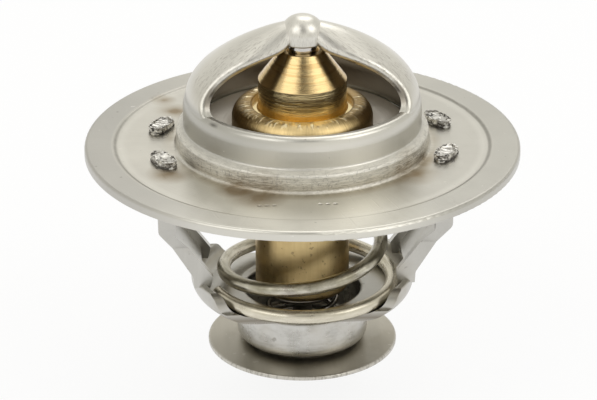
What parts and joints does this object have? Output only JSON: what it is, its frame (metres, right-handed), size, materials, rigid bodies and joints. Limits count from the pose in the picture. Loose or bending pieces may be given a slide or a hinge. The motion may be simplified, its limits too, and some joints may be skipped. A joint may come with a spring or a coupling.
{
  "type": "engine coolant thermostat",
  "caption": "Wax engine thermostat with a round flange, a bridge over a brass guide cone, a sprung valve disc in a lower cage and a bypass disc at the foot.",
  "frame": {"origin": "centre of the underside of the bypass disc, the foot the part stands on", "axes": "+Z along the valve's axis from the bypass disc up to the bridge, +X along the bridge and the cage's two arms"},
  "size_m": [0.067, 0.067, 0.0546],
  "materials": {
    "pressed_steel": "satin",
    "cage_steel": "satin",
    "spring_wire": "satin",
    "valve_steel": "satin",
    "capsule_brass": "satin",
    "wax": "matt",
    "rubber": "matt",
    "plug_rubber": "matt",
    "backing_plastic": "matt",
    "guide_brass": "polished",
    "pin_steel": "polished",
    "stem_steel": "satin",
    "small_spring_wire": "satin",
    "disc_steel": "satin"
  },
  "bodies": {
    "housing": {"flange_bridge": "pressed_steel", "spring_cage": "cage_steel", "main_spring": "spring_wire", "piston_pin": "pin_steel", "backing_disc": "backing_plastic", "rubber_plug": "plug_rubber"},
    "element": {"wax_capsule": "capsule_brass", "guide": "guide_brass", "valve_disc": "valve_steel", "wax_charge": "wax", "diaphragm": "rubber", "bypass_stem": "stem_steel", "bypass_spring": "small_spring_wire"},
    "bypass": {"bypass_disc": "disc_steel"}
  },
  "joints": [
    {"name": "valve_lift", "type": "slide", "parent": "housing", "child": "element", "axis": [0, 0, -1], "range_m": [0, 0.008], "stiffness_N_per_m": 6000, "springref_m": -0.012, "deforming": ["main_spring"]},
    {"name": "bypass_slide", "type": "slide", "parent": "element", "child": "bypass", "axis": [0, 0, 1], "range_m": [0, 0.0003], "stiffness_N_per_m": 1500, "springref_m": -0.006, "deforming": ["bypass_spring"]}
  ]
}
